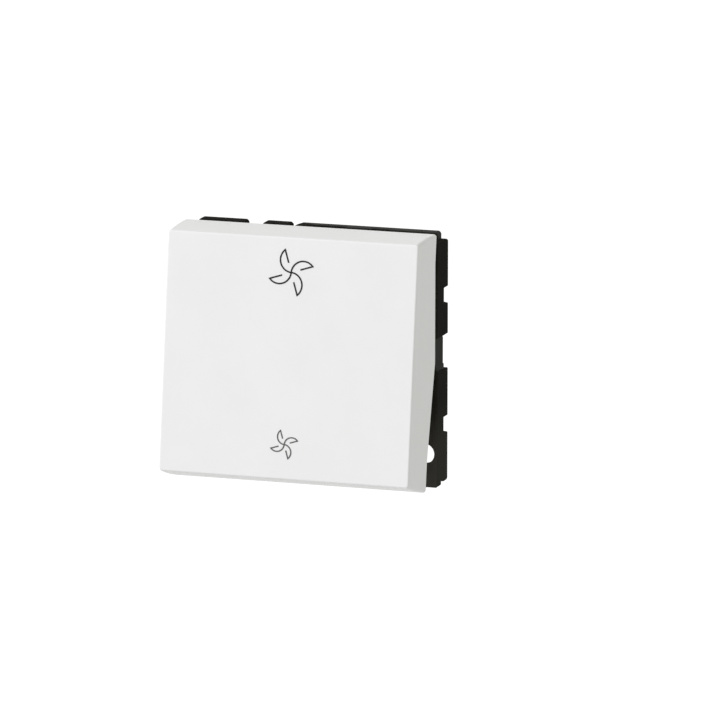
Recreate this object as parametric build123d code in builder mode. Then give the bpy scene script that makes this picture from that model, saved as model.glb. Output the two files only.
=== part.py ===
from build123d import *
import os
from math import cos, radians, sin, tan

os.makedirs("parts", exist_ok=True)

# A two-speed ventilation switch: a square module that clips into a wall support.
# X runs to the right, Z up, and the front of the key looks along -Y.
# The origin is the centre of the module on the seat plane, where the side tabs meet the support.
# "Ahead" means towards the person at the wall, along -Y, and "behind" is along +Y.

# Module and pose
module = 45.0  # width of the module, across the side walls of the frame
rest_tilt = 7.4  # key at rest, top pressed in, degrees from the wall plane
contact_tilt = 6.0  # contact bridge at rest, degrees, the other way
pivot_ahead = 0.8  # key pivot, ahead of the seat plane

# Support frame
frame_height = 41.8  # over the top and bottom walls, without their ribs
frame_depth = 5.9  # front of the deck, ahead of the seat plane
deck_thickness = 1.4
frame_wall = 1.2
frame_corner = 0.3
end_step_ahead = 3.5  # step in the lower ends of the side walls, ahead of the seat plane
end_step_height = 0.75
end_land_ahead = 2.0
end_land_height = 0.35
end_lead = 0.35  # slope at the back of both ends
upper_notch_top = 12.75  # heights above the middle of the module
lower_notch_top = -9.45
notch_width = 2.3
notch_depth = 2.2
tab_slope = 0.55  # upper ends of the tabs slope, their lower ends are square
latch_top = 4.65
latch_width = 5.45
latch_depth = 2.65
latch_step = 0.45
latch_step_width = 0.75
latch_slope = 0.35
rib_height = 1.23  # ribs along the top and bottom walls
rib_depth = 2.2
rib_chamfer = 0.35
rib_slot_x = 11.35
rib_slot_width = 3.0
rib_notch_left = 4.9  # both measured to the left of the middle
rib_notch_right = 4.3
rib_ramp_width = 1.2
rib_ramp_height = 0.4
groove_depth = 0.4
pad_left = -0.7
pad_width = 5.7
pad_height = 0.6
pad_slope = 0.4
lower_rib_width = 38.0
corner_hole = 3.5
corner_hole_inset_x = 2.3  # centre of each corner hole, from the sides of the frame
corner_hole_inset_z = 5.75  # the same from its top and bottom walls
deck_opening_height = 27.0

# Mechanism housing behind the frame
housing_width = 30.0
housing_height = 33.6
housing_wall = 1.3
housing_corner = 0.8
rim_wall = 1.2
rim_depth = 3.0  # frame rim, behind the seat plane
cover_behind = 16.2  # front of the rear cover, behind the seat plane
cover_thickness = 1.8
partition_inner = 4.6
partition_thickness = 0.9
cell_divider = 1.2
slot_clearance = 0.1

# Snap tongues between frame and housing
tongue_x = 8.0
tongue_width = 5.0
tongue_thickness = 1.2
tongue_gap = 0.1
barb_front = 5.0
barb_length = 1.5
barb_height = 0.8
barb_lead = 0.5
tongue_overrun = 0.7
window_clearance = 0.15

# Key
key_side_gap = 0.1  # key inside the module outline, at each side
key_end_gap = 0.75  # the same at the top and at the bottom
side_bevel = 0.3
end_bevel = 1.45
face_ahead = 17.1  # front face, ahead of the pivot
key_wall = 1.3
face_thickness = 1.5
key_clearance = 0.2  # between the pressed edge of the key and the deck
vee_clearance = 0.85  # between the pressed side wall of the key and the deck
mitre_radius = 0.5
face_edge_radius = 0.3
seat_rib_height = 1.6
seat_rib_thickness = 1.2
seat_rib_x = 9.5
stiffener_height = 2.4
stiffener_z = 14.5
key_hook_width = 8.0
key_hook_thickness = 1.2
key_hook_barb = 0.8
key_hook_gap = 0.12
key_hook_length = 4.6

# Printed fan marks on the key
mark_from_end = 7.3  # centre of each mark, from the end of the key
mark_ink = 0.06
large_mark_reach = 3.94
small_mark_reach = 2.44
large_mark_line = 0.25
small_mark_line = 0.2
blade_lean = 107.7  # direction of the first blade's straight edge, degrees
blade_open = 0.425  # start of the straight edge, as a share of the reach
blade_bow = 0.5365  # radius of the curved edge, as a share of the reach

# Tumbler
boss_height = 1.2
boss_side = 6.0
trunnion_radius = 1.6
trunnion_clearance = 0.05
trunnion_end = 0.2
cheek_clearance = 0.3
cheek_thickness = 2.0
cheek_foot = 3.2
cheek_top = 7.0
tumbler_plate = 1.6
tumbler_height = 18.0
guide_wall = 1.3
guide_behind = 1.0

# Plunger and its spring
plunger_radius = 2.0
plunger_clearance = 0.1
plunger_ahead = 3.0
plunger_behind = 8.0
plunger_taper = 2.2
plunger_tip = 0.9  # radius where the taper ends
spring_wire = 0.5
spring_radius = 1.5
spring_turns = 4

# Contact bridge
tip_gap = 0.1
bridge_ahead = 1.3  # front face of the bridge, ahead of its own pivot
bridge_thickness = 0.8
bridge_width = 5.2
bridge_length = 19.6
flange_thickness = 0.8
flange_height = 3.0
flange_behind = 0.9
bridge_pin = 0.55
bridge_pin_length = 1.3
bridge_pin_clearance = 0.1
contact_inset = 1.5  # centre of each contact, from the end of the bridge
moving_contact_radius = 1.4
moving_contact_thickness = 0.7
fixed_contact_radius = 1.0
fixed_contact_thickness = 0.6
contact_clearance = 0.06

# Terminals and clamps
strip_thickness = 0.8
arm_width = 2.4
pad_length = 4.8
pad_height = 4.4
saddle_length = 7.6
saddle_height = 6.0
ear_clearance = 0.4
ear_thickness = 0.8
ear_height = 3.2
ear_ahead = 0.9
jaw_height = 10.4
jaw_front = 5.6
jaw_rear = 15.8
wire_x = 11.0
wire_pitch = 6.2
wire_hole = 2.7
leaf_thickness = 0.35
leaf_height = 9.6
leaf_front = 6.4
leaf_rear = 14.6
leaf_bend = 1.0
leaf_tip_gap = 0.2
leaf_tip_behind = 9.0
leaf_slot = 2.9

# Release buttons
button_x = 8.0
button_width = 1.6
button_height = 4.0
button_proud = 1.0
button_clearance = 0.15
button_flange = 0.9
button_flange_margin = 0.5
button_flange_gap = 0.1
prong_height = 1.2
prong_end = 13.9

# Rear cover
post_width = 1.4
peg_size = 1.4
peg_length = 1.6
peg_clearance = 0.1

# Places worked out from the sizes above
half = module / 2
corner_hole_x = half - corner_hole_inset_x
frame_top = frame_height / 2
rib_top = frame_top + rib_height
rib_end = half - frame_wall
corner_hole_z = frame_top - corner_hole_inset_z
deck_rear = frame_depth - deck_thickness
rim_inner_width = housing_width - 2 * rim_wall
rim_inner_height = housing_height - 2 * rim_wall
inner_width = housing_width - 2 * housing_wall
inner_height = housing_height - 2 * housing_wall
cover_rear = cover_behind + cover_thickness
partition_outer = partition_inner + partition_thickness
key_width = module - 2 * key_side_gap
key_height = module - 2 * key_end_gap
face_width = key_width - 2 * side_bevel
face_height = key_height - 2 * end_bevel
mark_height = key_height / 2 - mark_from_end
tilt_cos = cos(radians(rest_tilt))
tilt_sin = sin(radians(rest_tilt))
skirt_ahead = (frame_depth + key_clearance - pivot_ahead + key_height / 2 * tilt_sin) / tilt_cos
vee_ahead = (frame_depth + vee_clearance - pivot_ahead) / tilt_cos
vee_reach = (skirt_ahead - vee_ahead) / tan(radians(rest_tilt))
key_inside = face_ahead - face_thickness
plate_front = key_inside - seat_rib_height
plate_rear = plate_front - tumbler_plate
cheek_outer = rim_inner_width / 2 - boss_height - cheek_clearance
cheek_inner = cheek_outer - cheek_thickness
guide_bore = plunger_radius + plunger_clearance
contact_height = bridge_length / 2 - contact_inset
bridge_pivot = -pivot_ahead + plunger_behind + tip_gap + bridge_ahead
bridge_rear = bridge_ahead - bridge_thickness
moving_face = moving_contact_thickness - bridge_rear
lean_cos = cos(radians(contact_tilt))
lean_sin = sin(radians(contact_tilt))
fixed_face = (bridge_pivot + moving_face * lean_cos
              + (contact_height + fixed_contact_radius) * lean_sin + contact_clearance)
strip_front = fixed_face + fixed_contact_thickness
strip_rear = strip_front + strip_thickness
wall_inside = inner_width / 2
jaw_inner = wall_inside - strip_thickness
ear_inner = bridge_width / 2 + ear_clearance

# Each terminal has one cell with two wire entries: its side of the housing and its height
cells = {
    "common": (-1, 0.0),
    "low_speed": (1, contact_height),
    "high_speed": (1, -contact_height),
}

# Pieces that tilt are modelled upright about their own pivot and then set at their rest angle
key_rest = Location((0, -pivot_ahead, 0), (-rest_tilt, 0, 0))
bridge_rest = Location((0, bridge_pivot, 0), (contact_tilt, 0, 0))

# Support frame: deck, battlemented outer wall, rim for the housing, bearings for the tumbler
with BuildPart() as support_frame:
    with BuildSketch(Plane.XZ.offset(deck_rear)):
        RectangleRounded(module, frame_height, frame_corner)
        Rectangle(rim_inner_width, deck_opening_height, mode=Mode.SUBTRACT)
    extrude(amount=deck_thickness)
    with BuildSketch(Plane.XZ.offset(deck_rear)):
        RectangleRounded(module, frame_height, frame_corner)
        Rectangle(module - 2 * frame_wall, frame_height - 2 * frame_wall, mode=Mode.SUBTRACT)
    extrude(amount=-deck_rear)
    with BuildSketch(Plane.XZ.offset(deck_rear)):
        RectangleRounded(housing_width, housing_height, housing_corner)
        Rectangle(rim_inner_width, rim_inner_height, mode=Mode.SUBTRACT)
    extrude(amount=-(deck_rear + rim_depth))
    # Rib along the top wall, in three lengths, and a plain shorter one along the bottom wall
    rib_slot_left = -rib_slot_x - rib_slot_width / 2
    rib_slot_right = -rib_slot_x + rib_slot_width / 2
    with BuildSketch(Plane.XZ):
        for left, right in ((-rib_end, rib_slot_left), (rib_slot_right, -rib_notch_left),
                            (-rib_notch_right, rib_end)):
            Polygon((left, frame_top), (left, rib_top - rib_chamfer),
                    (left + rib_chamfer, rib_top), (right - rib_chamfer, rib_top),
                    (right, rib_top - rib_chamfer), (right, frame_top))
        Polygon((-rib_notch_right, rib_top), (-rib_notch_right, rib_top - rib_ramp_height),
                (-rib_notch_right + rib_ramp_width, rib_top), mode=Mode.SUBTRACT)
        with Locations((0, -frame_top - rib_height / 2)):
            Rectangle(lower_rib_width, rib_height)
    extrude(amount=rib_depth)
    # Shallow groove and a sloping pad in the front of the upper rib
    with BuildSketch(Plane.XZ.offset(rib_depth - groove_depth)):
        with Locations((rib_slot_x, frame_top + rib_height / 2)):
            Rectangle(rib_slot_width, rib_height)
    extrude(amount=groove_depth, mode=Mode.SUBTRACT)
    with BuildSketch(Plane.YZ.offset(pad_left)):
        Polygon((-rib_depth, rib_top), (-rib_depth, rib_top - pad_height),
                (pad_slope - rib_depth, rib_top))
    extrude(amount=pad_width, mode=Mode.SUBTRACT)
    for side in (-1, 1):
        # Ends of the side walls, the lower one stepped, and the notches between their tabs
        with BuildSketch(Plane.YZ.offset(side * (half - frame_wall))):
            Polygon((-end_lead, frame_top), (0, frame_top - end_lead), (0, frame_top))
            land = end_land_height - frame_top
            Polygon((-end_step_ahead, -frame_top), (-end_step_ahead, end_step_height - frame_top),
                    (-end_land_ahead, land), (-end_lead, land), (0, land + end_lead),
                    (0, -frame_top))
            for high in (upper_notch_top, lower_notch_top):
                low = high - notch_width
                Polygon((0, low - tab_slope), (-notch_depth, low), (-notch_depth, high), (0, high))
            low = latch_top - latch_width
            Polygon((0, low - latch_step), (latch_step - latch_depth, low),
                    (latch_step - latch_depth, low + latch_step_width),
                    (-latch_depth, low + latch_step_width), (-latch_depth, latch_top),
                    (0, latch_top))
        extrude(amount=side * frame_wall, mode=Mode.SUBTRACT)
        # Sloping latch face between the two middle tabs
        with BuildSketch(Plane.XY.offset(latch_top - latch_width)):
            Polygon((side * half, -latch_depth), (side * half, -frame_depth),
                    (side * (half - latch_slope), -frame_depth))
        extrude(amount=latch_width, mode=Mode.SUBTRACT)
        # Bearing for one trunnion of the tumbler
        with BuildSketch(Plane.YZ.offset(side * rim_inner_width / 2)):
            with Locations((-pivot_ahead, 0)):
                Rectangle(boss_side, boss_side)
        extrude(amount=-side * boss_height)
        with BuildSketch(Plane.YZ.offset(side * (rim_inner_width / 2 - boss_height))):
            with Locations((-pivot_ahead, 0)):
                Circle(trunnion_radius + trunnion_clearance)
        extrude(amount=side * (boss_height + rim_wall), mode=Mode.SUBTRACT)
        # Snap tongues that reach back over the housing
        tongue_foot = side * (housing_height / 2 + tongue_gap)
        tongue_top = tongue_foot + side * tongue_thickness
        barb_top = tongue_foot - side * barb_height
        barb_end = barb_front + barb_length
        for place in (-tongue_x, tongue_x):
            with BuildSketch(Plane.YZ.offset(place - tongue_width / 2)):
                Polygon((-deck_rear, tongue_foot), (-deck_rear, tongue_top),
                        (barb_end + tongue_overrun, tongue_top),
                        (barb_end + tongue_overrun, tongue_foot), (barb_end, tongue_foot),
                        (barb_end - barb_lead, barb_top), (barb_front, barb_top),
                        (barb_front, tongue_foot))
            extrude(amount=tongue_width)
    # Round holes through the corners of the frame
    with BuildSketch(Plane.XZ.offset(frame_depth)):
        with GridLocations(2 * corner_hole_x, 2 * corner_hole_z, 2, 2):
            Circle(corner_hole / 2)
    extrude(amount=-frame_depth, mode=Mode.SUBTRACT)
support_frame.part.label = "support_frame"
export_step(support_frame.part, "parts/support_frame.step")

# Rear housing: open box with a middle chamber for the contacts and a cell for each terminal
with BuildPart() as rear_housing:
    housing_length = cover_behind - rim_depth
    with BuildSketch(Plane.XZ.offset(-rim_depth)):
        RectangleRounded(housing_width, housing_height, housing_corner)
        Rectangle(inner_width, inner_height, mode=Mode.SUBTRACT)
        with GridLocations(partition_inner + partition_outer, 0, 2, 1):
            Rectangle(partition_thickness, inner_height)
        cell_width = wall_inside - partition_outer
        with Locations(((wall_inside + partition_outer) / 2, 0)):
            Rectangle(cell_width, cell_divider)
        with Locations((-(wall_inside + partition_outer) / 2, 0)):
            with GridLocations(0, jaw_height + cell_divider, 1, 2):
                Rectangle(cell_width, cell_divider)
    extrude(amount=-housing_length)
    # Slots that let the terminal arms pass through the partitions
    for side, height in cells.values():
        with BuildSketch(Plane.XZ.offset(-strip_front)):
            with Locations((side * (partition_inner + partition_outer) / 2, height)):
                Rectangle(partition_thickness, arm_width + 2 * slot_clearance)
        extrude(amount=-(cover_behind - strip_front), mode=Mode.SUBTRACT)
    # Windows for the snap tongues
    for side in (-1, 1):
        with BuildSketch(Plane.XY.offset(side * inner_height / 2)):
            with GridLocations(2 * tongue_x, 0, 2, 1):
                with Locations((0, barb_front + barb_length / 2)):
                    Rectangle(tongue_width + 2 * window_clearance, barb_length + 2 * window_clearance)
        extrude(amount=side * housing_wall, mode=Mode.SUBTRACT)
rear_housing.part.label = "rear_housing"
export_step(rear_housing.part, "parts/rear_housing.step")

# Rear cover: plate with the wire entries, the button slots and posts that hold the strips
with BuildPart() as rear_cover:
    with BuildSketch(Plane.XZ.offset(-cover_rear)):
        RectangleRounded(housing_width, housing_height, housing_corner)
        for side, height in cells.values():
            with Locations((side * wire_x, height)):
                with GridLocations(0, wire_pitch, 1, 2):
                    Circle(wire_hole / 2, mode=Mode.SUBTRACT)
            with Locations((side * button_x, height)):
                Rectangle(button_width + 2 * button_clearance, button_height + 2 * button_clearance,
                          mode=Mode.SUBTRACT)
    extrude(amount=cover_thickness)
    with BuildSketch(Plane.XZ.offset(-cover_behind)):
        for side, height in cells.values():
            with Locations((side * (partition_inner - slot_clearance - post_width / 2), height)):
                Rectangle(post_width, arm_width)
    extrude(amount=cover_behind - strip_rear)
    peg_span_x = inner_width - 2 * peg_clearance - peg_size
    peg_span_z = inner_height - 2 * peg_clearance - peg_size
    with BuildSketch(Plane.XZ.offset(-cover_behind)):
        with GridLocations(peg_span_x, peg_span_z, 2, 2):
            Rectangle(peg_size, peg_size)
    extrude(amount=peg_length)
rear_cover.part.label = "rear_cover"
export_step(rear_cover.part, "parts/rear_cover.step")

# Key: drafted shell with four bevels, a shallow vee along the back of its side walls, and clips
with BuildPart() as rocker_key:
    # Side view with the end bevels and the vee, then cut to the plan view with the side bevels
    with BuildSketch(Plane.YZ):
        Polygon((-face_ahead, face_height / 2), (-skirt_ahead, key_height / 2),
                (-skirt_ahead, vee_reach), (-vee_ahead, 0), (-skirt_ahead, -vee_reach),
                (-skirt_ahead, -key_height / 2), (-face_ahead, -face_height / 2))
    extrude(amount=key_width, both=True)
    with BuildSketch(Plane.XY):
        Polygon((-face_width / 2, -face_ahead), (face_width / 2, -face_ahead),
                (key_width / 2, -skirt_ahead), (key_width / 2, -vee_ahead),
                (-key_width / 2, -vee_ahead), (-key_width / 2, -skirt_ahead))
    extrude(amount=key_height, both=True, mode=Mode.INTERSECT)
    mitres = (rocker_key.edges().filter_by(Axis.Z, reverse=True).filter_by(Axis.X, reverse=True)
              .filter_by(lambda edge: abs(edge.center().X) > face_width / 2
                         and abs(edge.center().Z) > face_height / 2))
    fillet(mitres, radius=mitre_radius)
    fillet(rocker_key.faces().sort_by(Axis.Y)[0].edges(), radius=face_edge_radius)
    # Hollow with the same draft as the outside
    with BuildSketch(Plane.XZ.offset(vee_ahead)):
        Rectangle(key_width - 2 * key_wall, key_height - 2 * key_wall)
    with BuildSketch(Plane.XZ.offset(key_inside)):
        Rectangle(face_width - 2 * key_wall, face_height - 2 * key_wall)
    loft(ruled=True, mode=Mode.SUBTRACT)
    # Ribs that seat on the tumbler, and two stiffeners above and below it
    with BuildSketch(Plane.XZ.offset(key_inside)):
        with GridLocations(2 * seat_rib_x, 0, 2, 1):
            Rectangle(seat_rib_thickness, tumbler_height)
    extrude(amount=-seat_rib_height)
    with BuildSketch(Plane.XZ.offset(key_inside)):
        with GridLocations(0, 2 * stiffener_z, 1, 2):
            Rectangle(face_width - 2 * key_wall, seat_rib_thickness)
    extrude(amount=-stiffener_height)
    # Hooks that clip behind the top and bottom edges of the tumbler plate
    for level in (-1, 1):
        leg = level * (tumbler_height / 2 + key_hook_gap)
        leg_back = leg + level * key_hook_thickness
        barb = leg - level * key_hook_barb
        hook_end = plate_rear - key_hook_gap
        with BuildSketch(Plane.YZ.offset(-key_hook_width / 2)):
            Polygon((-key_inside, leg), (-key_inside, leg_back),
                    (key_hook_length - key_inside, leg_back),
                    (-hook_end, barb), (-hook_end, leg))
        extrude(amount=key_hook_width)
rocker_key.part.label = "rocker_key"
rocker_key.part.location = key_rest
export_step(rocker_key.part, "parts/rocker_key.step")

# Fan marks: four open blades, each a bowed edge and a straight one that meet at the tip
marks = {
    "high_speed_mark": (mark_height, large_mark_reach, large_mark_line),
    "low_speed_mark": (-mark_height, small_mark_reach, small_mark_line),
}
for mark_name, (height, reach, line_width) in marks.items():
    tip = Vector(reach, 0).rotate(Axis.Z, blade_lean)
    chord = reach / 2
    bow = blade_bow * reach
    sagitta = bow - (bow ** 2 - chord ** 2) ** 0.5
    crown = tip / 2 + Vector(sagitta, 0).rotate(Axis.Z, blade_lean + 90)
    with BuildSketch() as blade:
        with BuildLine():
            ThreePointArc((0, 0), crown, tip)
            Line(tip, tip * blade_open)
        trace(line_width=line_width)
    with BuildPart() as mark:
        with BuildSketch(Plane.XZ.offset(face_ahead)):
            with Locations((0, height)):
                with PolarLocations(0, 4):
                    add(blade.sketch)
        extrude(amount=mark_ink)
    mark.part.label = mark_name
    mark.part.location = key_rest
    export_step(mark.part, f"parts/{mark_name}.step")

# Tumbler: plate under the key, two cheeks with trunnions, and a guide for the plunger
with BuildPart() as tumbler:
    with BuildSketch(Plane.XZ.offset(plate_rear)):
        Rectangle(2 * cheek_outer, tumbler_height)
    extrude(amount=tumbler_plate)
    for side in (-1, 1):
        with BuildSketch(Plane.YZ.offset(side * cheek_inner)):
            Circle(cheek_foot)
            Polygon((0, -cheek_foot), (0, cheek_foot), (-plate_rear, cheek_top),
                    (-plate_rear, -cheek_top))
        extrude(amount=side * cheek_thickness)
        with BuildSketch(Plane.YZ.offset(side * cheek_outer)):
            Circle(trunnion_radius)
        extrude(amount=side * (housing_width / 2 - trunnion_end - cheek_outer))
    with BuildSketch(Plane.XZ.offset(-guide_behind)):
        Rectangle(2 * (guide_bore + guide_wall), 2 * (guide_bore + guide_wall))
    extrude(amount=plate_rear + guide_behind)
    with BuildSketch(Plane.XZ.offset(-guide_behind)):
        Circle(guide_bore)
    extrude(amount=plate_rear + guide_behind, mode=Mode.SUBTRACT)
tumbler.part.label = "tumbler"
tumbler.part.location = key_rest
export_step(tumbler.part, "parts/tumbler.step")

# Plunger: pin with a tapered nose that rides on the contact bridge
with BuildPart() as plunger:
    with BuildSketch(Plane.YZ):
        Polygon((-plunger_ahead, 0), (-plunger_ahead, plunger_radius),
                (plunger_behind - plunger_taper, plunger_radius),
                (plunger_behind - plunger_tip / 2, plunger_tip), (plunger_behind, plunger_tip / 2),
                (plunger_behind, 0))
    revolve(axis=Axis.Y)
plunger.part.label = "plunger"
plunger.part.location = key_rest
export_step(plunger.part, "parts/plunger.step")

# Plunger spring: wire coil between the tumbler plate and the plunger
coil_length = plate_rear - plunger_ahead - spring_wire
with BuildPart() as plunger_spring:
    start = Vector(spring_radius, -plunger_ahead - spring_wire / 2, 0)
    with BuildLine():
        coil = Helix(coil_length / spring_turns, coil_length, spring_radius,
                     center=(0, start.Y, 0), direction=(0, -1, 0))
    with BuildSketch(Plane(coil @ 0, z_dir=coil % 0)):
        RegularPolygon(spring_wire / 2, 5)
    sweep(path=coil, is_frenet=True)
plunger_spring.part.label = "plunger_spring"
plunger_spring.part.location = key_rest
export_step(plunger_spring.part, "parts/plunger_spring.step")

# Contact bridge: see-saw strip with two side flanges and their pins
with BuildPart() as contact_bridge:
    with BuildSketch(Plane.XZ.offset(bridge_rear)):
        Rectangle(bridge_width, bridge_length)
    extrude(amount=bridge_thickness)
    for side in (-1, 1):
        with BuildSketch(Plane.YZ.offset(side * (bridge_width / 2 - flange_thickness))):
            Polygon((-bridge_rear, -flange_height / 2), (-bridge_rear, flange_height / 2),
                    (flange_behind, bridge_pin), (flange_behind, -bridge_pin))
        extrude(amount=side * flange_thickness)
        with BuildSketch(Plane.YZ.offset(side * bridge_width / 2)):
            Circle(bridge_pin)
        extrude(amount=side * bridge_pin_length)
contact_bridge.part.label = "contact_bridge"
contact_bridge.part.location = bridge_rest
export_step(contact_bridge.part, "parts/contact_bridge.step")

# Moving contacts: a round pad welded on each end of the bridge
with BuildPart() as moving_contacts:
    with BuildSketch(Plane.XZ.offset(bridge_rear)):
        with GridLocations(0, 2 * contact_height, 1, 2):
            Circle(moving_contact_radius)
    extrude(amount=-moving_contact_thickness)
moving_contacts.part.label = "moving_contacts"
moving_contacts.part.location = bridge_rest
export_step(moving_contacts.part, "parts/moving_contacts.step")

# Fixed contacts: a smaller pad welded on the strip of each output terminal
with BuildPart() as fixed_contacts:
    with BuildSketch(Plane.XZ.offset(-strip_front)):
        with GridLocations(0, 2 * contact_height, 1, 2):
            Circle(fixed_contact_radius)
    extrude(amount=fixed_contact_thickness)
fixed_contacts.part.label = "fixed_contacts"
export_step(fixed_contacts.part, "parts/fixed_contacts.step")

# Terminals, clamp springs and release buttons, one of each for every cell
for cell, (side, height) in cells.items():
    # Terminal: strip under the contacts, arm into the cell and jaw along the housing wall
    with BuildPart() as terminal:
        with BuildSketch(Plane.XZ.offset(-strip_rear)):
            with Locations((side * wall_inside / 2, height)):
                Rectangle(wall_inside, arm_width)
            if height:
                with Locations((0, height)):
                    Rectangle(pad_length, pad_height)
            else:
                Rectangle(saddle_length, saddle_height)
        extrude(amount=strip_thickness)
        with BuildSketch(Plane.YZ.offset(side * jaw_inner)):
            with Locations(((jaw_front + jaw_rear) / 2, height)):
                Rectangle(jaw_rear - jaw_front, jaw_height)
        extrude(amount=side * strip_thickness)
        if not height:
            # Ears of the saddle, notched for the pins of the contact bridge
            notch = bridge_pin + bridge_pin_clearance
            ear_front = bridge_pivot - ear_ahead
            for ear in (-1, 1):
                with BuildSketch(Plane.YZ.offset(ear * ear_inner)):
                    with Locations(((ear_front + strip_front) / 2, 0)):
                        Rectangle(strip_front - ear_front, ear_height)
                    with Locations((bridge_pivot, 0)):
                        Circle(notch, mode=Mode.SUBTRACT)
                    with Locations((bridge_pivot - ear_ahead / 2, 0)):
                        Rectangle(ear_ahead, 2 * notch, mode=Mode.SUBTRACT)
                extrude(amount=ear * ear_thickness)
    terminal.part.label = f"{cell}_terminal"
    export_step(terminal.part, f"parts/{cell}_terminal.step")

    # Clamp spring: bent strip with a leaf for each wire, split to clear the terminal arm
    with BuildPart() as clamp_spring:
        leg_x = partition_outer + leaf_thickness / 2
        with BuildSketch(Plane.XY.offset(height - leaf_height / 2)):
            with BuildLine():
                FilletPolyline((side * leg_x, leaf_front), (side * leg_x, leaf_rear),
                               (side * (jaw_inner - leaf_tip_gap), leaf_tip_behind),
                               radius=leaf_bend)
            trace(line_width=leaf_thickness)
        extrude(amount=leaf_height)
        slot_front = strip_front - slot_clearance
        with BuildSketch(Plane.XZ.offset(-slot_front)):
            with Locations((side * leg_x, height)):
                Rectangle(2 * leaf_bend, leaf_slot)
        extrude(amount=-(leaf_rear - slot_front), mode=Mode.SUBTRACT)
        slot_start = leg_x + leaf_thickness
        with BuildSketch(Plane.XZ.offset(-leaf_front)):
            with Locations((side * (slot_start + jaw_inner) / 2, height)):
                Rectangle(jaw_inner - slot_start, leaf_slot)
        extrude(amount=-(leaf_rear - leaf_front), mode=Mode.SUBTRACT)
    clamp_spring.part.label = f"{cell}_clamp_spring"
    export_step(clamp_spring.part, f"parts/{cell}_clamp_spring.step")

    # Release button: stem through the cover, flange behind it and two prongs over the leaves
    with BuildPart() as release_button:
        flange_rear = cover_behind - button_flange_gap
        flange_front = flange_rear - button_flange
        with BuildSketch(Plane.XZ.offset(-(cover_rear + button_proud))):
            with Locations((side * button_x, height)):
                Rectangle(button_width, button_height)
        extrude(amount=cover_rear + button_proud - flange_rear)
        with BuildSketch(Plane.XZ.offset(-flange_rear)):
            with Locations((side * button_x, height)):
                Rectangle(button_width + 2 * button_flange_margin,
                          leaf_slot + 2 * (prong_height + button_flange_margin))
        extrude(amount=button_flange)
        with BuildSketch(Plane.XZ.offset(-flange_front)):
            with Locations((side * button_x, height)):
                with GridLocations(0, leaf_slot + prong_height, 1, 2):
                    Rectangle(button_width, prong_height)
        extrude(amount=flange_front - prong_end)
    release_button.part.label = f"{cell}_release_button"
    export_step(release_button.part, f"parts/{cell}_release_button.step")
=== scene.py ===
import math

import bmesh
import bpy
from mathutils import Matrix, Vector


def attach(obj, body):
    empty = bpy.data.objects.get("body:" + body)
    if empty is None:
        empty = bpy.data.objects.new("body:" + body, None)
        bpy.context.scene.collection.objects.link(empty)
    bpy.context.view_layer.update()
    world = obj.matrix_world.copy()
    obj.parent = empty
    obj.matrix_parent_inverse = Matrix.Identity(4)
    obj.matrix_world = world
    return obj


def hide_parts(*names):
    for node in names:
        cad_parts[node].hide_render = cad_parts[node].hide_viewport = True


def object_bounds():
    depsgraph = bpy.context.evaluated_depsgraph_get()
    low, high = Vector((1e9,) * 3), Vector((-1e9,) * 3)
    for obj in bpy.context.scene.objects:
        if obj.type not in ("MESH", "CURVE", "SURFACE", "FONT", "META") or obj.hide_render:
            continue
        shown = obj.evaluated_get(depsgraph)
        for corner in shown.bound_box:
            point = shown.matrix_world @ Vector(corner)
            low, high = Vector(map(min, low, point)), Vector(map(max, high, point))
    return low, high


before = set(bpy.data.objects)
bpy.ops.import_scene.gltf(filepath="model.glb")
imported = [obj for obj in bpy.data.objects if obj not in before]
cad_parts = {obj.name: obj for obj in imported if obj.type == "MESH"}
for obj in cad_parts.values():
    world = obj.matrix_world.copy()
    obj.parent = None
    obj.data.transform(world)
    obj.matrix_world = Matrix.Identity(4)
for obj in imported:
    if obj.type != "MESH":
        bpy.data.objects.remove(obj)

# A two-speed ventilation switch: white rocker key on a dark clip-in module.
# Everything is in metres. X runs right, Z up, and the key looks along -Y.
mm = 0.001
creaseDegrees = 35       # edges sharper than this get a mould radius
flatFaceWeight = 80      # how strongly large faces keep their shading flat
scene = bpy.context.scene
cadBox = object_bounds()


def srgb(hexValue):
    # sRGB hex to the linear colour that the shaders take
    channels = [int(hexValue[i:i + 2], 16) / 255 for i in (1, 3, 5)]
    linear = [c / 12.92 if c <= 0.04045 else ((c + 0.055) / 1.055) ** 2.4 for c in channels]
    return (*linear, 1.0)


def addNode(tree, kind, settings=None, links=None):
    # one node, its settings by attribute or input name, and what feeds its inputs
    node = tree.nodes.new(kind)
    for key, value in (settings or {}).items():
        if isinstance(key, str) and hasattr(node, key):
            setattr(node, key, value)
        else:
            node.inputs[key].default_value = value
    for key, source in (links or {}).items():
        tree.links.new(source, node.inputs[key])
    return node


def newMaterial(name):
    material = bpy.data.materials.new(name)
    material.use_nodes = True
    material.node_tree.nodes.clear()
    return material, material.node_tree


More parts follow.
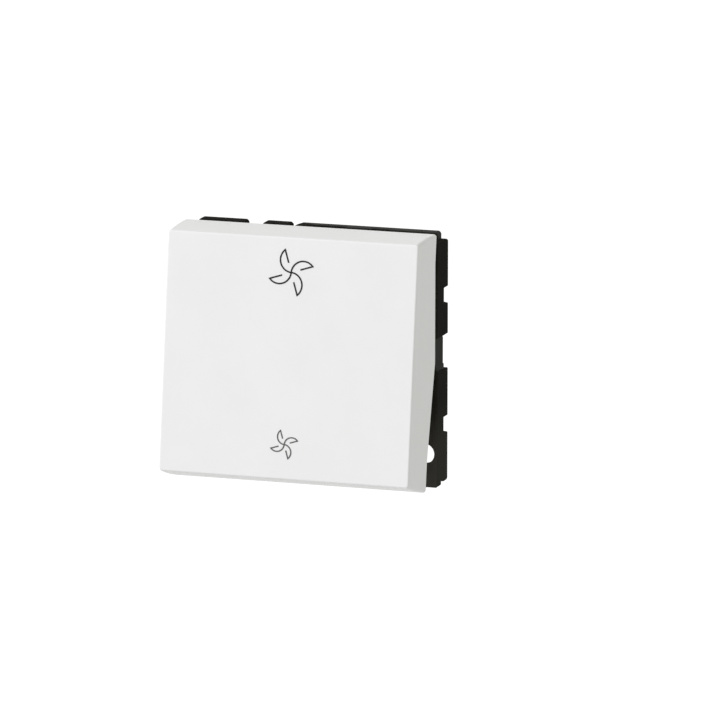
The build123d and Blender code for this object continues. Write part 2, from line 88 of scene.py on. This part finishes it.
def mouldedPlastic(name, look):
    # spark-textured moulding: fine grain, cloudy flow of the melt, and outward edges a little paler, partly
    # as wear and partly as a painted highlight
    material, tree = newMaterial(name)
    coords = addNode(tree, "ShaderNodeTexCoord")
    place = coords.outputs["Object"]
    grain = addNode(tree, "ShaderNodeTexNoise",
                    {"Scale": 1 / (look["grainMm"] * mm), "Detail": 3.0, "Roughness": 0.6},
                    {"Vector": place})
    cloud = addNode(tree, "ShaderNodeTexNoise",
                    {"Scale": 1 / (look["cloudMm"] * mm), "Detail": 4.0, "Roughness": 0.55},
                    {"Vector": place})
    cloudShare = addNode(tree, "ShaderNodeMapRange",
                         {"From Min": 0.35, "From Max": 0.65, "To Min": 0.0, "To Max": 1.0},
                         {"Value": cloud.outputs["Fac"]})
    body = addNode(tree, "ShaderNodeMix",
                   {"data_type": "RGBA", 6: srgb(look["colour"]), 7: srgb(look["shade"])},
                   {0: cloudShare.outputs["Result"]})
    # painted light: the lower end is painted paler, standing in for more light from below
    if "paintedLowLight" in look:
        # one end of the piece, the last to fill, comes out paler
        height = addNode(tree, "ShaderNodeSeparateXYZ", None, {"Vector": place})
        paintedLowLightShare = addNode(tree, "ShaderNodeMapRange",
                           {"interpolation_type": "SMOOTHSTEP", "From Min": look["paintedLowLightFromMm"] * mm,
                            "From Max": look["paintedLowLightToMm"] * mm}, {"Value": height.outputs["Z"]})
        body = addNode(tree, "ShaderNodeMix", {"data_type": "RGBA", 7: srgb(look["paintedLowLight"])},
                       {0: paintedLowLightShare.outputs["Result"], 6: body.outputs[2]})
        # painted light: faces that look forward are lifted paler, up to twice as bright, against the shade
        # the key casts on them
        facing = addNode(tree, "ShaderNodeSeparateXYZ", None, {"Vector": coords.outputs["Normal"]})
        paintedFrontLightShare = addNode(tree, "ShaderNodeMapRange",
                             {"From Min": -0.5, "From Max": -0.9,
                              "To Min": 0.0, "To Max": look["paintedFrontLight"]},
                             {"Value": facing.outputs["Y"]})
        body = addNode(tree, "ShaderNodeMix", {"data_type": "RGBA", "blend_type": "ADD"},
                       {0: paintedFrontLightShare.outputs["Result"], 6: body.outputs[2], 7: body.outputs[2]})
    # seen from inside the wall, only the outward corners are occluded
    corner = addNode(tree, "ShaderNodeAmbientOcclusion",
                     {"inside": True, "only_local": True, "samples": 6, "Distance": look["edgeWearAndHighlightMm"] * mm})
    # outward edges painted paler: partly wear, partly a painted highlight where a rounded rim catches the
    # light
    edgeWearAndHighlightShare = addNode(tree, "ShaderNodeMapRange",
                     {"From Min": 0.6, "From Max": 0.92, "To Min": look["edgeWearAndHighlight"], "To Max": 0.0},
                     {"Value": corner.outputs["AO"]})
    colour = addNode(tree, "ShaderNodeMix",
                     {"data_type": "RGBA", 7: srgb(look["edge"])},
                     {0: edgeWearAndHighlightShare.outputs["Result"], 6: body.outputs[2]})
    gloss = addNode(tree, "ShaderNodeMapRange",
                    {"From Min": 0.3, "From Max": 0.7,
                     "To Min": look["roughness"] - look["glossSpread"],
                     "To Max": look["roughness"] + look["glossSpread"]},
                    {"Value": grain.outputs["Fac"]})
    relief = addNode(tree, "ShaderNodeBump",
                     {"Strength": look["grainStrength"], "Distance": look["grainDepthMm"] * mm},
                     {"Height": grain.outputs["Fac"]})
    shader = addNode(tree, "ShaderNodeBsdfPrincipled",
                     {"IOR": look["ior"], "Specular IOR Level": look["specular"]},
                     {"Base Color": colour.outputs[2], "Roughness": gloss.outputs["Result"],
                      "Normal": relief.outputs["Normal"]})
    addNode(tree, "ShaderNodeOutputMaterial", None, {"Surface": shader.outputs["BSDF"]})
    return material


def rolledMetal(name, look):
    # strip or wire: fine lines along the rolling direction, with faint stains between them
    material, tree = newMaterial(name)
    place = addNode(tree, "ShaderNodeTexCoord").outputs["Object"]
    fine, long = 1 / (look["lineMm"] * mm), 1 / (look["lineMm"] * look["lineLength"] * mm)
    along = addNode(tree, "ShaderNodeMapping",
                    {"Scale": [long if axis == look["rolledAlong"] else fine for axis in "XYZ"]},
                    {"Vector": place})
    lines = addNode(tree, "ShaderNodeTexNoise", {"Scale": 1.0, "Detail": 3.0},
                    {"Vector": along.outputs["Vector"]})
    stain = addNode(tree, "ShaderNodeTexNoise", {"Scale": 1 / (look["stainMm"] * mm), "Detail": 4.0},
                    {"Vector": place})
    stainShare = addNode(tree, "ShaderNodeMapRange",
                         {"From Min": 0.4, "From Max": 0.75, "To Min": 0.0, "To Max": look["stainShare"]},
                         {"Value": stain.outputs["Fac"]})
    colour = addNode(tree, "ShaderNodeMix",
                     {"data_type": "RGBA", 6: srgb(look["colour"]), 7: srgb(look["stain"])},
                     {0: stainShare.outputs["Result"]})
    gloss = addNode(tree, "ShaderNodeMapRange",
                    {"From Min": 0.3, "From Max": 0.7,
                     "To Min": look["roughness"] - 0.07, "To Max": look["roughness"] + 0.07},
                    {"Value": lines.outputs["Fac"]})
    relief = addNode(tree, "ShaderNodeBump",
                     {"Strength": 0.35, "Distance": look["lineDepthMm"] * mm},
                     {"Height": lines.outputs["Fac"]})
    shader = addNode(tree, "ShaderNodeBsdfPrincipled", {"Metallic": 1.0},
                     {"Base Color": colour.outputs[2], "Roughness": gloss.outputs["Result"],
                      "Normal": relief.outputs["Normal"]})
    addNode(tree, "ShaderNodeOutputMaterial", None, {"Surface": shader.outputs["BSDF"]})
    return material


# ASA, injection moulded with a satin texture: an even cool white that hides finger marks
satinWhiteAsa = mouldedPlastic("satinWhiteAsaMoulded", {
    "colour": "#F1F1F0", "shade": "#EFEFED", "edge": "#F8F8F7", "edgeWearAndHighlight": 0.6, "edgeWearAndHighlightMm": 0.2,
    "grainMm": 0.22,  # the real grain is near 0.04 mm, drawn coarser so that it shows
    "grainDepthMm": 0.006, "grainStrength": 0.25, "cloudMm": 9.0,
    "roughness": 0.42, "glossSpread": 0.05, "ior": 1.51, "specular": 0.35,
})

# Glass-filled polyamide, moulded: warm near-black, dull, with a slightly streaky skin. Its lower end is
# painted paler, standing in for more light from below
filledBlackPolyamide = mouldedPlastic("glassFilledPolyamideMoulded", {
    "colour": "#181714", "shade": "#1D1C19", "edge": "#302F2B", "edgeWearAndHighlight": 0.3, "edgeWearAndHighlightMm": 0.2,
    # painted light: forward-facing faces lifted paler against the key's shade
    # painted light: the colour turns paler towards the lower end
    "paintedLowLight": "#302F2B", "paintedLowLightFromMm": -5, "paintedLowLightToMm": -15, "paintedFrontLight": 1.0,
    "grainMm": 0.3,  # glass streaks, drawn about twice their real width
    "grainDepthMm": 0.012, "grainStrength": 0.4, "cloudMm": 3.5,
    "roughness": 0.7, "glossSpread": 0.08, "ior": 1.53, "specular": 0.01,
})

# The same compound where a polished slide of the mould drew it: smoother and glossier, and painted a paler
# colour that stands in for the light these sloping faces catch
smoothPaintedLitPolyamide = mouldedPlastic("glassFilledPolyamideSmoothPaintedLit", {
    "colour": "#23241F", "shade": "#282924", "edge": "#3C3D38", "edgeWearAndHighlight": 0.4, "edgeWearAndHighlightMm": 0.2,
    "grainMm": 0.3, "grainDepthMm": 0.006, "grainStrength": 0.3, "cloudMm": 3.5,
    "roughness": 0.62, "glossSpread": 0.06, "ior": 1.53, "specular": 0.05,
})

# The housing is the same compound from another tool, with a rougher spark finish
sparkedBlackPolyamide = mouldedPlastic("glassFilledPolyamideSparkFinish", {
    "colour": "#201F1C", "shade": "#262521", "edge": "#3C3B37", "edgeWearAndHighlight": 0.4, "edgeWearAndHighlightMm": 0.3,
    "grainMm": 0.35, "grainDepthMm": 0.02, "grainStrength": 0.5, "cloudMm": 4.0,
    "roughness": 0.66, "glossSpread": 0.08, "ior": 1.53, "specular": 0.2,
})

# Acetal, moulded unpigmented: milky, slightly waxy white for sliding parts
naturalAcetal = mouldedPlastic("naturalAcetalMoulded", {
    "colour": "#E9E6DC", "shade": "#E2DED2", "edge": "#F2F0E8", "edgeWearAndHighlight": 0.5, "edgeWearAndHighlightMm": 0.2,
    "grainMm": 0.4, "grainDepthMm": 0.008, "grainStrength": 0.25, "cloudMm": 3.0,
    "roughness": 0.34, "glossSpread": 0.05, "ior": 1.48, "specular": 0.45,
})

# Polyamide, moulded grey: the release buttons stand out a little from the black cover
greyPolyamide = mouldedPlastic("greyPolyamideMoulded", {
    "colour": "#8E908D", "shade": "#868884", "edge": "#A4A6A2", "edgeWearAndHighlight": 0.6, "edgeWearAndHighlightMm": 0.25,
    "grainMm": 0.25, "grainDepthMm": 0.01, "grainStrength": 0.3, "cloudMm": 2.0,
    "roughness": 0.5, "glossSpread": 0.06, "ior": 1.53, "specular": 0.35,
})

# Pad-printing ink: a thin, slightly uneven near-black film with a soft sheen
padInk = mouldedPlastic("padPrintedInk", {
    "colour": "#161615", "shade": "#1E1E1D", "edge": "#2A2A29", "edgeWearAndHighlight": 0.3, "edgeWearAndHighlightMm": 0.01,
    "grainMm": 0.12, "grainDepthMm": 0.004, "grainStrength": 0.3, "cloudMm": 0.8,
    "roughness": 0.55, "glossSpread": 0.06, "ior": 1.5, "specular": 0.2,
})

# The same ink where the pad lays it down thinner, in fine lines: dark grey, with the white
# shining through
thinPadInk = mouldedPlastic("padPrintedInkThin", {
    "colour": "#5C5C5A", "shade": "#646462", "edge": "#6C6C6A", "edgeWearAndHighlight": 0.3, "edgeWearAndHighlightMm": 0.01,
    "grainMm": 0.12, "grainDepthMm": 0.004, "grainStrength": 0.3, "cloudMm": 0.8,
    "roughness": 0.55, "glossSpread": 0.06, "ior": 1.5, "specular": 0.2,
})

# Spring steel, drawn and rolled: cool grey with fine drawing lines
drawnSpringSteel = rolledMetal("springSteelRolled", {
    "colour": "#A9ABAD", "stain": "#7C7C7A", "stainMm": 2.0, "stainShare": 0.3,
    "lineMm": 0.06, "lineLength": 12, "lineDepthMm": 0.004, "rolledAlong": "Y", "roughness": 0.32,
})

# Brass strip, rolled and stamped: soft yellow with the rolling lines along the strip
stampedBrass = rolledMetal("brassStripRolled", {
    "colour": "#CDA85A", "stain": "#96703A", "stainMm": 2.5, "stainShare": 0.35,
    "lineMm": 0.07, "lineLength": 14, "lineDepthMm": 0.004, "rolledAlong": "X", "roughness": 0.34,
})

# Copper strip, rolled and stamped: reddish, a little browned towards the contacts
stampedCopper = rolledMetal("copperStripRolled", {
    "colour": "#C77B58", "stain": "#8A4B34", "stainMm": 2.0, "stainShare": 0.4,
    "lineMm": 0.07, "lineLength": 14, "lineDepthMm": 0.004, "rolledAlong": "Z", "roughness": 0.36,
})

# Fine silver, coined: soft pale metal with a faint yellow tarnish
coinedSilver = rolledMetal("silverContactCoined", {
    "colour": "#DAD7CF", "stain": "#A89A7C", "stainMm": 0.9, "stainShare": 0.35,
    "lineMm": 0.09, "lineLength": 3, "lineDepthMm": 0.003, "rolledAlong": "X", "roughness": 0.28,
})
print("materials ready")


def seenRays(tree):
    # 1 for the rays that show the background: to the camera, in a gloss or through something clear
    rays = addNode(tree, "ShaderNodeLightPath")
    seen = addNode(tree, "ShaderNodeMath", {"operation": "MAXIMUM"},
                   {0: rays.outputs["Is Camera Ray"], 1: rays.outputs["Is Glossy Ray"]})
    seenAny = addNode(tree, "ShaderNodeMath", {"operation": "MAXIMUM"},
                      {0: seen.outputs["Value"], 1: rays.outputs["Is Transmission Ray"]})
    return seenAny.outputs["Value"]


def crownEnds(shape, look):
    # the long walls above and below the key's face swell a little between their two edges
    face = max(shape.faces, key=lambda f: f.calc_area())
    ahead, middle = face.normal.copy(), face.calc_center_median()
    upward = ahead.cross(Vector((1, 0, 0)))
    depth = look["wallDepthMm"] * mm
    for step in range(1, look["crownSteps"]):
        walls = [f for f in shape.faces if abs(f.normal.dot(ahead)) < 0.5]
        edges = {edge for f in walls for edge in f.edges}
        corners = {vert for f in walls for vert in f.verts}
        bmesh.ops.bisect_plane(shape, geom=[*walls, *edges, *corners], dist=0.001 * mm,
                               plane_co=middle - ahead * depth * step / look["crownSteps"], plane_no=ahead)
    shape.normal_update()
    heights = {vert: (vert.co - middle).dot(upward) for vert in shape.verts}
    reach = max(abs(height) for height in heights.values())
    shifts = {}
    for vert, height in heights.items():
        back = (middle - vert.co).dot(ahead) / depth
        outward = vert.normal.dot(upward) * math.copysign(1, height)
        if 0 < back < 1 and outward > 0 and abs(height) > look["crownFrom"] * reach:
            swell = look["crownMm"] * mm * 4 * back * (1 - back) * outward   # a parabola, full at half depth
            shifts[vert] = upward * math.copysign(swell, height)
    for vert, shift in shifts.items():
        vert.co += shift


def roundedCopy(node, look):
    # finer copy of a CAD node: the same form, with the small radii that a mould leaves on its edges
    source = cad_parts[node]
    mesh = source.data.copy()
    mesh.name = look["name"]
    if "custom_normal" in mesh.attributes:
        mesh.attributes.remove(mesh.attributes["custom_normal"])
    shape = bmesh.new()
    shape.from_mesh(mesh)
    bmesh.ops.remove_doubles(shape, verts=shape.verts, dist=0.002 * mm)
    bmesh.ops.dissolve_limit(shape, angle_limit=math.radians(0.5), verts=shape.verts, edges=shape.edges,
                             use_dissolve_boundaries=False)
    if "crownMm" in look:
        crownEnds(shape, look)
    # large faces with holes are cut into triangles first, because the radii would fold them
    bmesh.ops.triangulate(shape, faces=[face for face in shape.faces if len(face.verts) > 4])
    shape.to_mesh(mesh)
    shape.free()
    piece = bpy.data.objects.new(look["name"], mesh)
    scene.collection.objects.link(piece)
    for polygon in mesh.polygons:
        polygon.use_smooth = True
    rounding = piece.modifiers.new("mouldRadius", "BEVEL")
    rounding.width = look["radiusMm"] * mm
    rounding.segments = look["steps"]
    rounding.limit_method = "ANGLE"
    rounding.angle_limit = math.radians(creaseDegrees)
    rounding.use_clamp_overlap = False
    rounding.loop_slide = False
    rounding.harden_normals = True
    flatten = piece.modifiers.new("flatFaces", "WEIGHTED_NORMAL")
    flatten.keep_sharp = True
    flatten.weight = flatFaceWeight
    mesh.materials.clear()
    mesh.materials.append(look["material"])
    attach(piece, look["body"])
    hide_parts(node)
    return piece


# Key: bevels and vee edge come from the CAD form. The rim gets its small radius and the end walls
# their swell
keyLook = {
    "name": "rockerKeyMoulding", "body": "key", "slot": "white_key",
    "material": satinWhiteAsa, "radiusMm": 0.14, "steps": 3,
    "crownMm": 0.16, "crownSteps": 8, "crownFrom": 0.85, "wallDepthMm": 8.9,
}
roundedCopy("rocker_key", keyLook)

# Support frame: every tab, notch and slot keeps its place, with softly broken edges
supportLook = {
    "name": "supportFrameMoulding", "body": "module", "slot": "dark_frame",
    "material": filledBlackPolyamide, "radiusMm": 0.16, "steps": 3,
}
supportFrame = roundedCopy("support_frame", supportLook)

# Its latches and long upper rib scrape along the opening when the switch clips in: a slide draws them
# smooth. Their faces also take the paler, painted-light colour
smoothPaintedLitLook = {"material": smoothPaintedLitPolyamide, "latchOutMm": 22.0, "latchLowMm": -0.9, "latchHighMm": 4.7,
             "ribOutMm": 20.95, "ribFromMm": -1.0}
supportFrame.data.materials.append(smoothPaintedLitLook["material"])
for polygon in supportFrame.data.polygons:
    out, height = abs(polygon.center.x) / mm, polygon.center.z / mm
    onLatch = out > smoothPaintedLitLook["latchOutMm"] and smoothPaintedLitLook["latchLowMm"] < height < smoothPaintedLitLook["latchHighMm"]
    onRib = height > smoothPaintedLitLook["ribOutMm"] and polygon.center.x / mm > smoothPaintedLitLook["ribFromMm"]
    if onLatch or onRib:
        polygon.material_index = 1

# Housing and its cover
housingLook = {
    "name": "rearHousingMoulding", "body": "module", "slot": "dark_housing",
    "material": sparkedBlackPolyamide, "radiusMm": 0.1, "steps": 2,
}
roundedCopy("rear_housing", housingLook)
coverLook = {
    "name": "rearCoverMoulding", "body": "module", "slot": "dark_housing",
    "material": sparkedBlackPolyamide, "radiusMm": 0.14, "steps": 3,
}
roundedCopy("rear_cover", coverLook)

# Release buttons: their corners are eased where a screwdriver's tip pushes
buttonLook = {"slot": "button_plastic", "material": greyPolyamide, "radiusMm": 0.15, "steps": 3}
buttonNames = {"common": "commonReleaseButton", "low_speed": "lowSpeedReleaseButton",
               "high_speed": "highSpeedReleaseButton"}
for cell, name in buttonNames.items():
    roundedCopy(f"{cell}_release_button", {**buttonLook, "name": name, "body": f"{cell}_button"})
print("mouldings rounded")

# Nodes whose CAD form is right as it is only take a finish
finishes = {
    "high_speed_mark": padInk,
    "low_speed_mark": thinPadInk,
    "tumbler": naturalAcetal,
    "plunger": naturalAcetal,
    "plunger_spring": drawnSpringSteel,
    "contact_bridge": stampedCopper,
    "moving_contacts": coinedSilver,
    "fixed_contacts": coinedSilver,
}
for cell in ("common", "low_speed", "high_speed"):
    finishes[f"{cell}_terminal"] = stampedBrass
    finishes[f"{cell}_clamp_spring"] = drawnSpringSteel
for node, material in finishes.items():
    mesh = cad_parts[node].data
    for index in range(len(mesh.materials)):
        mesh.materials[index] = material
    if not mesh.materials:
        mesh.materials.append(material)
print("finishes given")

# Floor: pale sheet well below the switch, which hangs free as if held at its mount
floorLook = {"below": 0.12, "size": 6.0, "colour": "#E2E2E2", "fibre": "#E6E6E6", "fibreScale": 40.0,
             "cameraGlow": 0.5}
floorMesh = bpy.data.meshes.new("paleFloor")
half = floorLook["size"] / 2
floorLevel = cadBox[0].z - floorLook["below"]
floorMesh.from_pydata([(-half, -half, floorLevel), (half, -half, floorLevel),
                       (half, half, floorLevel), (-half, half, floorLevel)], [], [(0, 1, 2, 3)])
floor = bpy.data.objects.new("paleFloor", floorMesh)
scene.collection.objects.link(floor)
floorMaterial, tree = newMaterial("paleFloorPaper")
fibre = addNode(tree, "ShaderNodeTexNoise", {"Scale": floorLook["fibreScale"], "Detail": 3.0})
fibreColour = addNode(tree, "ShaderNodeMix",
                      {"data_type": "RGBA", 6: srgb(floorLook["colour"]), 7: srgb(floorLook["fibre"])},
                      {0: fibre.outputs["Fac"]})
paper = addNode(tree, "ShaderNodeBsdfDiffuse", None, {"Color": fibreColour.outputs[2]})
glowLevel = addNode(tree, "ShaderNodeMath", {"operation": "MULTIPLY", 1: floorLook["cameraGlow"]},
                    {0: seenRays(tree)})
glow = addNode(tree, "ShaderNodeEmission", None, {"Strength": glowLevel.outputs["Value"]})
both = addNode(tree, "ShaderNodeAddShader", None, {0: paper.outputs["BSDF"], 1: glow.outputs["Emission"]})
# from underneath the sheet is clear, so that the switch can be looked at from below
side = addNode(tree, "ShaderNodeNewGeometry")
clear = addNode(tree, "ShaderNodeBsdfTransparent")
oneSided = addNode(tree, "ShaderNodeMixShader", None,
                   {0: side.outputs["Backfacing"], 1: both.outputs["Shader"], 2: clear.outputs["BSDF"]})
addNode(tree, "ShaderNodeOutputMaterial", None, {"Surface": oneSided.outputs["Shader"]})
floorMesh.materials.append(floorMaterial)

# Light: one broad soft lamp from the upper left in front, and even light from all round. The lamp is
# a little cooler than the surround, so that the face is neutral and the right side slightly green
lampLook = {"from": (-0.585, -0.648, 0.487), "distance": 4.0, "size": 2.6, "level": 0.603,
            "colour": (0.934, 0.919, 1.0)}
aroundLook = {"level": 0.555, "colour": (0.989, 1.0, 0.955, 1.0)}
scene.world = bpy.data.worlds.new("studio")
scene.world.use_nodes = True
tree = scene.world.node_tree
tree.nodes.clear()
seen = seenRays(tree)
level = addNode(tree, "ShaderNodeMapRange", {"To Min": aroundLook["level"], "To Max": 1.0},
                {"Value": seen})
tint = addNode(tree, "ShaderNodeMix",
               {"data_type": "RGBA", 6: aroundLook["colour"], 7: (1.0, 1.0, 1.0, 1.0)},
               {0: seen})
sky = addNode(tree, "ShaderNodeBackground", None,
              {"Color": tint.outputs[2], "Strength": level.outputs["Result"]})
addNode(tree, "ShaderNodeOutputWorld", None, {"Surface": sky.outputs["Background"]})
lamp = bpy.data.lights.new("upperLeft", "AREA")
lamp.shape = "DISK"
lamp.size = lampLook["size"]
lamp.color = lampLook["colour"]
# at this power, white paper that faces the lamp shows the level
lamp.energy = lampLook["level"] * (math.pi * lampLook["distance"]) ** 2
holder = bpy.data.objects.new("upperLeft", lamp)
scene.collection.objects.link(holder)
towards = Vector(lampLook["from"]).normalized()
holder.location = towards * lampLook["distance"]
holder.rotation_mode = "QUATERNION"
holder.rotation_quaternion = towards.to_track_quat("Z", "Y")
print("stage lit")

# Camera: a long lens about 1.3 m away, turned to the right of the switch and a little above it
cameraLook = {
    "azimuth": 18.32, "elevation": 11.55, "roll": -0.07,  # degrees
    "distance": 1.268, "pixelsPerMm": 5.897, "framePixels": 724,
    "originPixel": (321.6, 351.5),  # where the centre of the seat plane falls in the picture
    "sensorMm": 36.0,
}
azimuth = math.radians(cameraLook["azimuth"])
elevation = math.radians(cameraLook["elevation"])
roll = math.radians(cameraLook["roll"])
ahead = Vector((-math.sin(azimuth) * math.cos(elevation), math.cos(azimuth) * math.cos(elevation),
                -math.sin(elevation)))
sideways = Vector((math.cos(azimuth), math.sin(azimuth), 0))
upright = sideways.cross(ahead)
rightward = sideways * math.cos(roll) - upright * math.sin(roll)
upward = sideways * math.sin(roll) + upright * math.cos(roll)
centrePixel = cameraLook["framePixels"] / 2
perPixel = mm / cameraLook["pixelsPerMm"]
lens = bpy.data.cameras.new("photoLens")
lens.sensor_width = cameraLook["sensorMm"]
lens.lens = (cameraLook["distance"] / perPixel) / cameraLook["framePixels"] * cameraLook["sensorMm"]
lens.clip_start = 0.05
lens.clip_end = 20
camera = bpy.data.objects.new("photoCamera", lens)
scene.collection.objects.link(camera)
originRight = (cameraLook["originPixel"][0] - centrePixel) * perPixel
originUp = -(cameraLook["originPixel"][1] - centrePixel) * perPixel
stand = -ahead * cameraLook["distance"] - rightward * originRight - upward * originUp
turn = Matrix((rightward, upward, -ahead)).transposed()
camera.matrix_world = Matrix.Translation(stand) @ turn.to_4x4()
scene.camera = camera
scene.view_settings.view_transform = "Standard"
print("camera placed, lens", round(lens.lens, 1), "mm")
